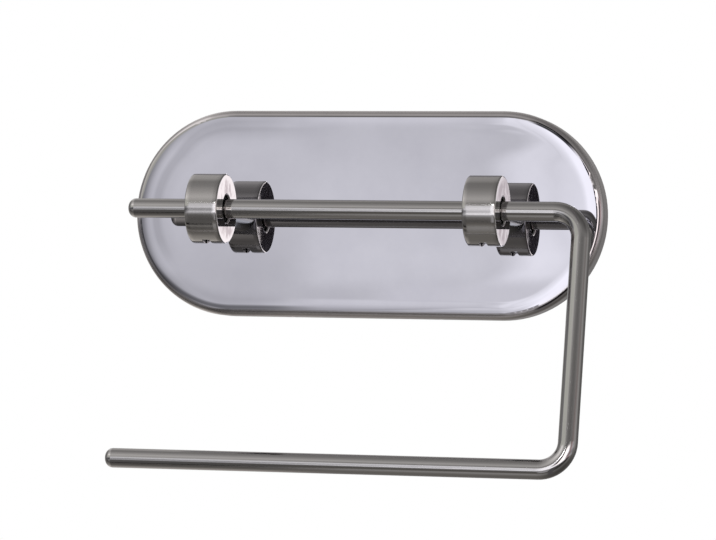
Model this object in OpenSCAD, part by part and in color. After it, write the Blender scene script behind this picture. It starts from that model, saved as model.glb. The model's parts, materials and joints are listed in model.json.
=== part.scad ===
// Wall-mounted toilet roll holder with a swinging bent rod.
// The origin is the middle of the cover plate on the wall. The wall is the plane y = 0, the room
// lies towards -Y, +X is to the right as seen from the room, and +Z is up.

/* [Cover plate] */
// Length of the plate from end to end
plate_l = 126; // [110:1:180]
// Height of the plate, which is also the diameter of its round ends
plate_h = 54; // [50:1:80]
// Distance from the wall to the polished face
plate_depth = 6.4; // [6:0.1:10]
// Radius of the rounding between the face and the side wall
plate_edge_r = 1.8; // [1.6:0.1:3]
// Thickness of the plate's metal
plate_sheet = 1.2; // [0.8:0.1:1.5]

/* [Collars and posts] */
// Distance between the middles of the two collars
collar_pitch = 73; // [70:1:84]
// Outer diameter of a collar
collar_d = 18; // [15:0.5:24]
// Width of a collar along the rod
collar_w = 8.7; // [7.5:0.1:12]
// Radius of the rounding along the collar's edges
collar_edge_r = 0.4; // [0.2:0.1:0.8]
// Distance that the post behind a collar stands back from the collar's faces
post_step = 0.15; // [0:0.05:1]
// Diameter of the threaded stud behind the plate and of the tenon in the collar
stud_d = 5; // [4:0.5:5.5]
// Depth of the tenon in the collar
tenon_l = 3.4; // [2:0.1:3.8]

/* [Rod] */
// Diameter of the bent rod
rod_d = 5; // [4:0.1:6.5]
// Distance from the plate's face to the rod's axis
rod_reach = 17.7; // [16:0.1:30]
// Distance from the plate's middle to the rod's free ends
rod_tip_x = 58.6; // [50:0.1:80]
// Distance from the plate's middle to the arm's axis
arm_x = 61.3; // [56:0.1:90]
// Distance between the axes of the upper and the lower length of rod
arm_drop = 66; // [55:1:100]
// Radius of the rod's axis in its bends
bend_r = 7; // [4:0.1:12]
// Rounding of the rod's free ends
tip_r = 1.9; // [0.5:0.1:2]
// Lean of the arm away from the wall at rest, in degrees
rest_lean = 11.5; // [0:0.5:40]

/* [Bushes and collar screws] */
// Wall thickness of a bush
bush_wall = 1; // [0.8:0.1:1.5]
// Distance that a bush stands back from the collar's faces
bush_recess = 0.8; // [0.2:0.1:1]
// Diameter of the collar screw's thread
screw_d = 2.5; // [2.5:0.5:4]
// Distance that the collar screw stands back from the collar's surface
screw_recess = 1.2; // [1:0.1:1.5]
// Width of the slot across the collar's lowest point, where its screw sits
slot_w = 2; // [1.6:0.1:2.4]
// Depth of that slot
slot_depth = 0.8; // [0.4:0.1:1]
// Diameter of the collar screw's dog point
dog_d = 1.7; // [1.2:0.1:2]
// Width of the groove in the rod that the dog point runs in
groove_w = 2.4; // [2.2:0.1:3.5]
// Depth of the groove in the rod
groove_depth = 0.7; // [0.5:0.05:0.9]

/* [Wall bracket] */
// Length of the bracket along the wall
bracket_w = 56; // [50:1:58]
// Thickness of the bracket's and the rail's sheet
bracket_sheet = 1.2; // [0.8:0.1:1.2]
// Inner radius of the sheet's bends
fold_r = 0.6; // [0.4:0.1:0.6]
// Distance from the plate's top edge down to the top of the bracket's hanging lip
lip_drop = 10; // [8:0.5:12]
// Distance from the bracket's end to the middle of a wall screw hole
wall_hole_inset = 8; // [5:0.5:14]
// Diameter of the wall screw holes
wall_hole_d = 4.5; // [3.5:0.1:5.5]
// Distance that the rail inside the plate is shorter than the bracket at each end
rail_inset = 3; // [0:0.5:10]
// Distance from the bracket's end to the axis of a locking screw
lock_inset = 8; // [4:0.5:16]

/* [Hidden] */
$fn = 96;

// Clearances
overrun = 0.5;          // how far a cut passes the surface that it opens
seat_gap = 0.05;        // between pieces that are screwed or pressed together
run_gap = 0.05;         // between the rod and a bush, on the radius
rest_gap = 0.3;         // between loose sheet pieces
dog_gap = 0.2;          // between the dog point and the bottom of its groove
hole_gap = 0.2;         // around a screw in a plain hole, on the radius

// Cover plate
cavity_depth = plate_depth - plate_sheet;
end_x = (plate_l - plate_h) / 2;

// Rod and collars
rod_r = rod_d / 2;
rod_y = plate_depth + rod_reach;
collar_r = collar_d / 2;
collar_x = collar_pitch / 2;
post_d = collar_w - 2 * post_step;
bush_in_r = rod_r + run_gap;
bush_r = bush_in_r + bush_wall;
bore_r = bush_r + seat_gap;
groove_r = rod_r - groove_depth;

// Post, nut and washer
collar_back = rod_y - collar_r;
stud_tip = 0.7;
washer_t = 1;
washer_r = stud_d;
nut_t = 2.7;
nut_across_share = 1.6; // width across the flats, of the stud
nut_across = nut_across_share * stud_d;
stud_chamfer = 0.4;

// Collar screw
screw_r = screw_d / 2;
screw_hole_r = screw_r + seat_gap;
dog_r = dog_d / 2;
dog_tip = groove_r + dog_gap;
screw_shoulder = bore_r + dog_gap;
socket_share = 0.5;     // width across the flats of the hexagon socket, of the thread
socket_depth_share = 0.5;

// Bracket, rail and locking screws
wall_hole_x = bracket_w / 2 - wall_hole_inset;
lip_top = plate_h / 2 - lip_drop;
lock_d = 3;
lock_r = lock_d / 2;
lock_land = 0.3;        // between the wall and the locking screws' holes
lock_x = bracket_w / 2 - lock_inset;
lock_y = lock_land + hole_gap + lock_r;
lock_block_w = 2 * lock_d;
lock_block_h = 2.4;
flange_out = plate_h / 2 - plate_sheet - rest_gap;
flange_in = flange_out - bracket_sheet;
flange_setback = 1;     // from the cover's inner face to the lower flange's edge
flange_depth = cavity_depth - flange_setback;
lip_back = 2 * fold_r + bracket_sheet;
lip_l = 3.6;
hook_gap = rest_gap;
hook_l = 3;
pad_top = plate_h / 2 - plate_sheet - plate_edge_r;

// Places children at a depth from the wall, with their own z pointing into the room.
module outward(depth = 0) {
    translate([0, -depth, 0]) rotate([90, 0, 0]) children();
}

// Places children on the rod's axis, with their own z along +X.
module on_rod(x = 0) {
    translate([x, -rod_y, 0]) rotate([0, 90, 0]) children();
}

// Half of a rounded plate's section: r is the half height, d the depth, e the edge's radius.
module plate_half_section(r, d, e) {
    square([r - e, d]);
    square([r, d - e]);
    translate([r - e, d - e]) circle(r = e);
}

// A plate with full-round ends and a rounded front edge.
module rounded_plate(r, d, e) {
    for (side = [-1, 1])
        translate([side * end_x, 0, 0])
            rotate([0, 0, -side * 90])
                rotate_extrude(angle = 180) plate_half_section(r, d, e);
    rotate([90, 0, 90]) linear_extrude(height = 2 * end_x, center = true) {
        plate_half_section(r, d, e);
        mirror([1, 0]) plate_half_section(r, d, e);
    }
}

module cover_plate() {
    half = plate_h / 2;
    color("lavender") difference() {
        outward() rounded_plate(half, plate_depth, plate_edge_r);
        outward(-overrun)
            rounded_plate(half - plate_sheet, cavity_depth + overrun, plate_edge_r - plate_sheet);
        for (side = [-1, 1]) {
            translate([side * collar_x, 0, 0])
                outward(cavity_depth - overrun)
                    cylinder(r = stud_d / 2 + hole_gap, h = plate_sheet + 2 * overrun);
            translate([side * lock_x, -lock_y, -half - overrun])
                cylinder(r = lock_r + hole_gap, h = plate_sheet + 2 * overrun);
        }
    }
}

// A quarter of a bent sheet's section.
module fold_section(sheet) {
    intersection() {
        difference() {
            circle(r = fold_r + sheet);
            circle(r = fold_r);
        }
        square(fold_r + sheet);
    }
}

// Section of a folded strip. Each leg is [length, turn]: the strip lies to the left of its path,
// and after the leg it turns to the left for 1, to the right for -1, and ends for 0.
module folded_section(legs, sheet, i = 0) {
    leg = legs[i];
    if (leg[0] > 0) square([leg[0], sheet]);
    translate([leg[0], 0]) {
        if (leg[1] > 0) {
            translate([0, sheet + fold_r]) rotate(-90) fold_section(sheet);
            translate([sheet + fold_r, sheet + fold_r]) rotate(90) folded_section(legs, sheet, i + 1);
        }
        if (leg[1] < 0) {
            translate([0, -fold_r]) fold_section(sheet);
            translate([fold_r, -fold_r]) rotate(-90) folded_section(legs, sheet, i + 1);
        }
    }
}

// A strip folded in the plane of depth and height, and drawn out along the wall.
module folded_strip(width) {
    rotate([90, 0, -90]) linear_extrude(height = width, center = true) children();
}

module wall_bracket() {
    joggle_z = lip_top - lip_l - fold_r - bracket_sheet;
    legs = [
        [flange_depth - bracket_sheet - fold_r, -1],
        [joggle_z + flange_in - 2 * fold_r, -1],
        [0, 1],
        [lip_l, 0]
    ];
    color("silver") difference() {
        union() {
            folded_strip(bracket_w)
                translate([flange_depth, -flange_in]) rotate(180) folded_section(legs, bracket_sheet);
            for (side = [-1, 1])
                translate([side * lock_x - lock_block_w / 2, -flange_depth, -flange_in])
                    cube([lock_block_w, flange_depth, lock_block_h]);
        }
        for (side = [-1, 1]) {
            translate([side * wall_hole_x, 0, 0])
                outward(-overrun) cylinder(d = wall_hole_d, h = bracket_sheet + 2 * overrun);
            translate([side * lock_x, -lock_y, -flange_out - overrun])
                cylinder(r = lock_r + seat_gap, h = bracket_sheet + lock_block_h + 2 * overrun);
        }
    }
}

module hook_rail() {
    web_low = lip_top + rest_gap;
    hook_back = lip_back - hook_gap - bracket_sheet;
    pad_back = cavity_depth - bracket_sheet;
    legs = [
        [pad_top - web_low - bracket_sheet - fold_r, -1],
        [pad_back - 2 * fold_r - bracket_sheet - hook_back, 1],
        [hook_l, 0]
    ];
    color("silver")
        folded_strip(bracket_w - 2 * rail_inset)
            translate([pad_back, pad_top]) rotate(-90) folded_section(legs, bracket_sheet);
}

// A socket set screw along +z, from its inner end to its socketed end.
module set_screw(r, h) {
    difference() {
        cylinder(r = r, h = h);
        translate([0, 0, h - 2 * r * socket_depth_share])
            cylinder(r = r * socket_share / cos(30), h = 2 * r * socket_depth_share + overrun, $fn = 6);
    }
}

module lock_screw(side) {
    inner = flange_in - lock_block_h;
    color("dimgray")
        translate([side * lock_x, -lock_y, -inner])
            rotate([180, 0, 0]) set_screw(lock_r, plate_h / 2 - plate_sheet / 2 - inner);
}

module post(side) {
    color("gray") translate([side * collar_x, 0, 0]) {
        difference() {
            outward(plate_depth) cylinder(d = post_d, h = collar_back - plate_depth + collar_r / 2);
            on_rod() cylinder(r = collar_r + seat_gap, h = 2 * post_d, center = true);
        }
        outward(stud_tip + stud_chamfer)
            cylinder(d = stud_d, h = collar_back + tenon_l - stud_tip - stud_chamfer);
        outward(stud_tip)
            cylinder(d1 = stud_d - 2 * stud_chamfer, d2 = stud_d, h = stud_chamfer);
    }
}

module post_washer(side) {
    color("silver") translate([side * collar_x, 0, 0]) outward(cavity_depth - washer_t)
        difference() {
            cylinder(r = washer_r, h = washer_t);
            translate([0, 0, -overrun])
                cylinder(r = stud_d / 2 + hole_gap, h = washer_t + 2 * overrun);
        }
}

module post_nut(side) {
    color("silver") translate([side * collar_x, 0, 0]) outward(cavity_depth - washer_t - nut_t)
        difference() {
            intersection() {
                cylinder(d = nut_across / cos(30), h = nut_t, $fn = 6);
                cylinder(r1 = nut_across / 2, r2 = nut_across / 2 + nut_t / tan(30), h = nut_t);
            }
            translate([0, 0, -overrun])
                cylinder(r = stud_d / 2 + seat_gap, h = nut_t + 2 * overrun);
        }
}

// Half section of a collar, which turns about the rod's axis.
module collar_half_section() {
    half = collar_w / 2;
    wall = collar_r - bore_r;
    translate([bore_r, -half + collar_edge_r]) square([wall, collar_w - 2 * collar_edge_r]);
    translate([bore_r + collar_edge_r, -half]) square([wall - 2 * collar_edge_r, collar_w]);
    for (r = [bore_r + collar_edge_r, collar_r - collar_edge_r])
        for (across = [-half + collar_edge_r, half - collar_edge_r])
            translate([r, across]) circle(r = collar_edge_r);
}

module collar(side) {
    color("lightgray") difference() {
        on_rod(side * collar_x) rotate_extrude() collar_half_section();
        translate([side * collar_x, 0, 0])
            outward(collar_back - overrun)
                cylinder(d = stud_d + 2 * seat_gap, h = tenon_l + rest_gap + overrun);
        translate([side * collar_x, -rod_y, -collar_r - overrun]) {
            cylinder(r = screw_hole_r, h = collar_r + overrun);
            translate([-slot_w / 2, -collar_r, 0])
                cube([slot_w, 2 * collar_r, slot_depth + overrun]);
        }
    }
}

module bush(side) {
    length = collar_w - 2 * bush_recess;
    color("dimgray") difference() {
        on_rod(side * collar_x) difference() {
            cylinder(r = bush_r, h = length, center = true);
            cylinder(r = bush_in_r, h = length + 2 * overrun, center = true);
        }
        translate([side * collar_x, -rod_y, -collar_r])
            cylinder(r = dog_r + hole_gap, h = collar_r);
    }
}

module collar_screw(side) {
    color("dimgray") translate([side * collar_x, -rod_y, 0]) rotate([180, 0, 0]) {
        translate([0, 0, screw_shoulder])
            set_screw(screw_r, collar_r - screw_recess - screw_shoulder);
        translate([0, 0, dog_tip]) cylinder(r = dog_r, h = screw_shoulder - dog_tip);
    }
}

// A free length of rod along +z from zero, with a rounded end.
module rod_end(h) {
    rotate_extrude() {
        square([rod_r - tip_r, h]);
        square([rod_r, h - tip_r]);
        intersection() {
            translate([rod_r - tip_r, h - tip_r]) circle(r = tip_r);
            square([rod_r, h]);
        }
    }
}

// A quarter bend about the origin, from the +X side to the +Y side.
module rod_bend() {
    rotate_extrude(angle = 90) translate([bend_r, 0]) circle(r = rod_r);
}

// The rod lies flat in its own plane here: x along the wall and y down the arm.
module flat_rod() {
    straight = arm_x - bend_r + rod_tip_x;
    for (y = [0, arm_drop])
        translate([arm_x - bend_r, y, 0]) rotate([0, -90, 0]) rod_end(straight);
    translate([arm_x - bend_r, bend_r, 0]) rotate(-90) rod_bend();
    translate([arm_x, bend_r, 0]) rotate([-90, 0, 0]) cylinder(r = rod_r, h = arm_drop - 2 * bend_r);
    translate([arm_x - bend_r, arm_drop - bend_r, 0]) rod_bend();
}

module roll_rod() {
    color("silver") translate([0, -rod_y, 0]) rotate([-90 - rest_lean, 0, 0]) difference() {
        flat_rod();
        for (side = [-1, 1])
            translate([side * collar_x, 0, 0]) rotate([0, 90, 0]) difference() {
                cylinder(r = rod_r + overrun, h = groove_w, center = true);
                cylinder(r = groove_r, h = groove_w + overrun, center = true);
            }
    }
}

cover_plate();
hook_rail();
wall_bracket();
lock_screw(-1);  // lock_screw_left
lock_screw(1);  // lock_screw_right
post(-1);  // post_left
post(1);  // post_right
post_washer(-1);  // post_washer_left
post_washer(1);  // post_washer_right
post_nut(-1);  // post_nut_left
post_nut(1);  // post_nut_right
collar(-1);  // collar_left
collar(1);  // collar_right
bush(-1);  // bush_left
bush(1);  // bush_right
collar_screw(-1);  // collar_screw_left
collar_screw(1);  // collar_screw_right
roll_rod();
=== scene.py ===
"""Dresses the toilet roll holder: camera, plain studio, and the finish of each piece."""

import json
import math

import bpy
from mathutils import Matrix, Vector


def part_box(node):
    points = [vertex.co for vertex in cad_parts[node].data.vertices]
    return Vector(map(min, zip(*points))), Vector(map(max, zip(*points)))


bl_info = {
    "name": "Toilet Roll Holder",
    "version": (1, 0, 0),
    "blender": (4, 5, 0),
    "location": "3D View > Sidebar > Holder",
    "description": "Builds the finishes and the studio of a wall-mounted toilet roll holder",
    "category": "Add Mesh",
}

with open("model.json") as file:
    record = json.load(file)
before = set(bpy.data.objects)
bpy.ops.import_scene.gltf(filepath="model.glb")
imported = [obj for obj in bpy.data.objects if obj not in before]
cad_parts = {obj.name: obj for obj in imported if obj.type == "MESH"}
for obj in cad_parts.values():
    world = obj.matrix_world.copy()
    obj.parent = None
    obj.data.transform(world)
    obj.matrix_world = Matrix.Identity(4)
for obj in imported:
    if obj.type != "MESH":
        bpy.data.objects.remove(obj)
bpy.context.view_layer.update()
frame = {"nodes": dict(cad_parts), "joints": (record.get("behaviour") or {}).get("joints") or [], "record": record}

# Sizes of the solids, in metres.
PLATE_LOW, PLATE_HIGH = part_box("cover_plate")
PLATE_HALF_H = PLATE_HIGH.z
PLATE_END_X = PLATE_HIGH.x - PLATE_HIGH.z
PLATE_DEPTH = -PLATE_LOW.y
COLLAR_LOW, COLLAR_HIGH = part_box("collar_right")
COLLAR_X = (COLLAR_LOW.x + COLLAR_HIGH.x) / 2
COLLAR_R = (COLLAR_HIGH.z - COLLAR_LOW.z) / 2
ROD_AXIS = Vector(frame["joints"][0]["pos_m"])
ROD_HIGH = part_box("roll_rod")[1]
ARM_X = ROD_HIGH.x - ROD_HIGH.z
MOUNTS = {mount["name"]: mount for mount in frame["record"]["mounts"]}
LOWER_ROD = Vector(MOUNTS["roll_spindle"]["pos_m"])
ARM_DROP = math.hypot(LOWER_ROD.y - ROD_AXIS.y, LOWER_ROD.z)
ARM_LEAN = math.atan2(ROD_AXIS.y - LOWER_ROD.y, -LOWER_ROD.z)
ROD_BEND_R = 0.007
PLATE_EDGE_R = 0.0018
RECORD_COLOURS = {m["slot"]: m["base_color"] for m in frame["record"]["materials"]}

MILLIMETRES = 1000.0


# Settings that a user would change


class HolderCameraSettings(bpy.types.PropertyGroup):
    place: bpy.props.FloatVectorProperty(
        name="Place",
        description="Where the camera stands, from the middle of the plate on the wall",
        default=(0.24577, -0.91326, -0.05209),
        subtype="TRANSLATION",
        unit="LENGTH",
    )
    turn: bpy.props.FloatProperty(
        name="Turn",
        description="Turn of the camera to the left about the upright axis",
        default=0.26625,
        subtype="ANGLE",
    )
    tilt: bpy.props.FloatProperty(
        name="Tilt", description="Tilt of the camera upwards", default=0.03985, subtype="ANGLE"
    )
    roll: bpy.props.FloatProperty(
        name="Roll",
        description="Roll of the camera about its line of sight",
        default=0.02419,
        subtype="ANGLE",
    )
    lens: bpy.props.FloatProperty(
        name="Lens",
        description="Focal length for a 36 mm wide sensor, in millimetres",
        default=181.94,
        min=10,
    )


class HolderStudioSettings(bpy.types.PropertyGroup):
    floor_drop: bpy.props.FloatProperty(
        name="Floor Drop",
        description="Distance from the middle of the plate down to the floor",
        default=0.8,
        subtype="DISTANCE",
        unit="LENGTH",
    )
    floor_size: bpy.props.FloatProperty(
        name="Floor Size",
        description="Length of the floor's sides",
        default=30.0,
        subtype="DISTANCE",
        unit="LENGTH",
    )
    floor_colour: bpy.props.FloatVectorProperty(
        name="Floor Colour",
        description="Colour of the pale floor",
        default=(0.87, 0.87, 0.86),
        subtype="COLOR",
        min=0,
        max=1,
    )
    room_strength: bpy.props.FloatProperty(
        name="Room Strength",
        description="Strength of the room that the metal mirrors",
        default=1.0,
        min=0,
    )
    fill_strength: bpy.props.FloatProperty(
        name="Fill Strength",
        description="Strength of the even light from all sides",
        default=0.85,
        min=0,
    )
    lamp_power: bpy.props.FloatProperty(
        name="Lamp Power",
        description="Power of the large soft lamp, in watts",
        default=11.0,
        min=0,
    )


class HolderFinishSettings(bpy.types.PropertyGroup):
    plate_colour: bpy.props.FloatVectorProperty(
        name="Plate Colour",
        description="Colour of the polished cover plate",
        default=RECORD_COLOURS["polished_plate"],
        subtype="COLOR",
        min=0,
        max=1,
    )
    plate_dish: bpy.props.FloatProperty(
        name="Plate Dish",
        description="Radius of the face's slight hollow across its height",
        default=0.54,
        subtype="DISTANCE",
        unit="LENGTH",
    )
    fall_width: bpy.props.FloatProperty(
        name="Fall Width",
        description="Width of the band along the face's edge that falls away gently",
        default=0.0036,
        subtype="DISTANCE",
        unit="LENGTH",
    )
    fall_angle: bpy.props.FloatProperty(
        name="Fall Angle",
        description="Slope of that band where it meets the rounded edge",
        default=0.087,
        subtype="ANGLE",
    )
    collar_colour: bpy.props.FloatVectorProperty(
        name="Collar Colour",
        description="Colour of the turned collars",
        default=RECORD_COLOURS["turned_collar"],
        subtype="COLOR",
        min=0,
        max=1,
    )
    # Painted dark reflection: near-black lines along the plate's rounded edge.
    painted_rim_reflection_colour: bpy.props.FloatVectorProperty(
        name="Rim Reflection",
        description="Polishing residue along the plate's rounded edge",
        default=(0.012, 0.012, 0.014),
        subtype="COLOR",
        min=0,
        max=1,
    )
    # Painted shade: the insides of the collars' holes and slots are coloured near black.
    hole_shade_colour: bpy.props.FloatVectorProperty(
        name="Bore Colour",
        description="Dull metal inside the collars' holes and slots",
        default=(0.035, 0.034, 0.033),
        subtype="COLOR",
        min=0,
        max=1,
    )
    roll_width: bpy.props.FloatProperty(
        name="Roll Width",
        description="Width of the band along a collar's edges that polishing has rolled over",
        default=0.0014,
        subtype="DISTANCE",
        unit="LENGTH",
    )
    roll_angle: bpy.props.FloatProperty(
        name="Roll Angle",
        description="Slope of that band at the edge",
        default=0.14,
        subtype="ANGLE",
    )
    # Painted shade: the posts' colour is darkened.
    post_shade_colour: bpy.props.FloatVectorProperty(
        name="Post Colour",
        description="Colour of the posts, whose polish has darkened",
        default=(0.17, 0.185, 0.19),
        subtype="COLOR",
        min=0,
        max=1,
    )
    rod_colour: bpy.props.FloatVectorProperty(
        name="Rod Colour",
        description="Colour of the bent rod",
        default=RECORD_COLOURS["satin_rod"],
        subtype="COLOR",
        min=0,
        max=1,
    )
    bush_colour: bpy.props.FloatVectorProperty(
        name="Bush Colour",
        description="Colour of the nylon bushes",
        default=RECORD_COLOURS["black_nylon"],
        subtype="COLOR",
        min=0,
        max=1,
    )
    screw_colour: bpy.props.FloatVectorProperty(
        name="Screw Colour",
        description="Colour of the set screws",
        default=RECORD_COLOURS["screw_steel"],
        subtype="COLOR",
        min=0,
        max=1,
    )
    zinc_colour: bpy.props.FloatVectorProperty(
        name="Zinc Colour",
        description="Colour of the zinc-plated bracket and rail",
        default=RECORD_COLOURS["zinc_sheet"],
        subtype="COLOR",
        min=0,
        max=1,
    )
    fastener_colour: bpy.props.FloatVectorProperty(
        name="Fastener Colour",
        description="Colour of the zinc-plated nuts and washers",
        default=RECORD_COLOURS["zinc_fastener"],
        subtype="COLOR",
        min=0,
        max=1,
    )


# Helpers for node trees


def add_node(tree, kind, inputs=None, **settings):
    """Adds a node, sets its settings, and links or sets its inputs by index or name."""
    node = tree.nodes.new(kind)
    for name, value in settings.items():
        setattr(node, name, value)
    for key, value in (inputs or {}).items():
        if isinstance(value, bpy.types.NodeSocket):
            tree.links.new(value, node.inputs[key])
        else:
            node.inputs[key].default_value = value
    return node


def calc(tree, operation, *values, clamp=False):
    """One step of arithmetic."""
    inputs = dict(enumerate(values))
    return add_node(tree, "ShaderNodeMath", inputs, operation=operation, use_clamp=clamp).outputs[0]


def step_up(tree, value, low, high):
    """Rises smoothly from 0 at low to 1 at high."""
    node = add_node(
        tree,
        "ShaderNodeMapRange",
        {"Value": value, "From Min": low, "From Max": high},
        interpolation_type="SMOOTHSTEP",
    )
    return node.outputs["Result"]


def step_down(tree, value, low, high):
    """Falls smoothly from 1 at low to 0 at high."""
    return step_up(tree, value, high, low)


def between(tree, value, low, high, soft):
    """1 between two values, and 0 past the soft distance outside them."""
    return calc(
        tree,
        "SUBTRACT",
        step_up(tree, value, low - soft, low + soft),
        step_up(tree, value, high - soft, high + soft),
    )


def part_way(tree, value, low, high):
    """How far a value has come from low, 0, to high, 1."""
    inputs = {"Value": value, "From Min": low, "From Max": high}
    return add_node(tree, "ShaderNodeMapRange", inputs).outputs["Result"]


def spread(tree, value, low, high):
    """Takes a value from 0 to 1 to the range from low to high."""
    node = add_node(tree, "ShaderNodeMapRange", {"Value": value, "To Min": low, "To Max": high})
    return node.outputs["Result"]


def ramp(tree, value, stops):
    """A colour ramp. Each stop is a place from 0 to 1 and a grey value or a colour."""
    node = add_node(tree, "ShaderNodeValToRGB", {0: value})
    elements = node.color_ramp.elements
    while len(elements) < len(stops):
        elements.new(1.0)
    for element, (place, shade) in zip(elements, stops):
        element.position = place
        colour = (shade, shade, shade) if isinstance(shade, float) else shade
        element.color = (*colour, 1.0)
    return node.outputs["Color"]


def mix_values(tree, share, first, second):
    node = add_node(tree, "ShaderNodeMix", {0: share, 2: first, 3: second}, data_type="FLOAT")
    return node.outputs[0]


def mix_colours(tree, share, first, second, blend_type="MIX"):
    node = add_node(
        tree,
        "ShaderNodeMix",
        {"Factor": share, 6: first, 7: second},
        data_type="RGBA",
        blend_type=blend_type,
    )
    return node.outputs[2]


def multiply_colours(tree, first, second, share=1.0):
    return mix_colours(tree, share, first, second, "MULTIPLY")


def noise(tree, place, scale, detail=3.0, roughness=0.5):
    node = add_node(
        tree,
        "ShaderNodeTexNoise",
        {"Vector": place, "Scale": scale, "Detail": detail, "Roughness": roughness},
    )
    return node.outputs["Fac"]


def vector(tree, x=0.0, y=0.0, z=0.0):
    return add_node(tree, "ShaderNodeCombineXYZ", {0: x, 1: y, 2: z}).outputs[0]


def place_from(tree, origin=(0, 0, 0), turn=0.0):
    """The place on the piece in millimetres from an origin, turned about the X axis."""
    coords = add_node(tree, "ShaderNodeTexCoord").outputs["Object"]
    moved = add_node(
        tree,
        "ShaderNodeVectorMath",
        {0: coords, 1: tuple(-value for value in origin)},
        operation="ADD",
    ).outputs[0]
    turned = add_node(
        tree,
        "ShaderNodeMapping",
        {"Vector": moved, "Rotation": (turn, 0, 0), "Scale": (MILLIMETRES,) * 3},
    ).outputs[0]
    parts = add_node(tree, "ShaderNodeSeparateXYZ", {0: turned}).outputs
    return turned, parts[0], parts[1], parts[2]


def hypotenuse(tree, first, second):
    squares = (calc(tree, "MULTIPLY", value, value) for value in (first, second))
    return calc(tree, "SQRT", calc(tree, "ADD", *squares))


def bump(tree, height, distance, strength=1.0, below=None):
    """A bump whose height, times the distance, is in metres."""
    inputs = {"Height": height, "Distance": distance, "Strength": strength}
    if below is not None:
        inputs["Normal"] = below
    return add_node(tree, "ShaderNodeBump", inputs).outputs["Normal"]


def new_finish(name):
    """A new material, its tree and its surface shader."""
    material = bpy.data.materials.new(name)
    material.use_nodes = True
    tree = material.node_tree
    shader = tree.nodes["Principled BSDF"]
    return material, tree, shader


def set_shader(tree, shader, **values):
    """Sets or links the shader's inputs. Underscores in the names stand for spaces."""
    for name, value in values.items():
        socket = shader.inputs[name.replace("_", " ")]
        if isinstance(value, bpy.types.NodeSocket):
            tree.links.new(value, socket)
        else:
            socket.default_value = value


def paint(material, *names):
    """Gives CAD nodes a finish."""
    for name in names:
        for slot in frame["nodes"][name].material_slots:
            slot.material = material


def rgba(colour):
    return (*colour, 1.0)


def tinted(colour, factor):
    return tuple(min(1.0, value * factor) for value in colour)


def tones(tree, share, colour, low, high):
    """A colour times low to the same colour times high."""
    return mix_colours(tree, share, rgba(tinted(colour, low)), rgba(tinted(colour, high)))


# Camera and studio


class HOLDER_OT_camera(bpy.types.Operator):
    """Sets up the camera"""

    bl_idname = "holder.camera"
    bl_label = "Camera"

    def execute(self, context):
        settings = context.scene.holder_camera
        turn, tilt, roll = settings.turn, settings.tilt, settings.roll
        right = Vector((math.cos(turn), math.sin(turn), 0))
        ahead = Vector(
            (-math.sin(turn) * math.cos(tilt), math.cos(turn) * math.cos(tilt), math.sin(tilt))
        )
        up = right.cross(ahead)
        rolled_right = right * math.cos(roll) + up * math.sin(roll)
        rolled_up = up * math.cos(roll) - right * math.sin(roll)
        data = bpy.data.cameras.new("holder_camera")
        data.sensor_fit = "HORIZONTAL"
        data.sensor_width = 36
        data.lens = settings.lens
        data.clip_start = 0.01
        camera = bpy.data.objects.new("holder_camera", data)
        context.scene.collection.objects.link(camera)
        axes = Matrix((rolled_right, rolled_up, -ahead)).transposed().to_4x4()
        camera.matrix_world = Matrix.Translation(settings.place) @ axes
        context.scene.camera = camera
        return {"FINISHED"}


# The room that the metal mirrors. A height angle turns about the rod's axis in degrees: 0 is
# level towards the room, 90 is straight up and 180 is towards the wall. The sideways part of a
# direction goes from -1, left, to 1, right. Each line below holds an angle or a sideways part
# and a brightness, with a tint where the tables differ.
LEVEL_TINT = (1.0, 0.992, 1.05)
WALL_TINT = (1.0, 0.972, 0.962)
LOW_TINT = (1.0, 0.945, 0.89)
ROOM_BY_HEIGHT = [
    (-180, 0.33, WALL_TINT),
    (-150, 0.28, WALL_TINT),
    (-134, 0.24, LOW_TINT),
    (-115, 0.18, LOW_TINT),
    (-92, 0.20, LOW_TINT),
    (-77, 0.25, LOW_TINT),
    (-66, 0.34, WALL_TINT),
    (-57, 0.39, WALL_TINT),
    (-50, 0.24, LOW_TINT),
    (-44, 0.17, LOW_TINT),
    (-37, 0.10, LOW_TINT),
    (-30, 0.16, LOW_TINT),
    (-24, 0.24, WALL_TINT),
    (-17, 0.62, LEVEL_TINT),
    (0, 0.70, LEVEL_TINT),
    (13, 0.56, WALL_TINT),
    (16.5, 0.32, WALL_TINT),
    (20, 0.30, WALL_TINT),
    (26, 0.46, WALL_TINT),
    (34, 0.58, WALL_TINT),
    (42, 0.52, WALL_TINT),
    (54, 0.41, WALL_TINT),
    (66, 0.33, WALL_TINT),
    (78, 0.275, WALL_TINT),
    (97, 0.25, WALL_TINT),
    (108, 0.35, WALL_TINT),
    (118, 0.40, WALL_TINT),
    (150, 0.42, WALL_TINT),
    (180, 0.33, WALL_TINT),
]
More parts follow.
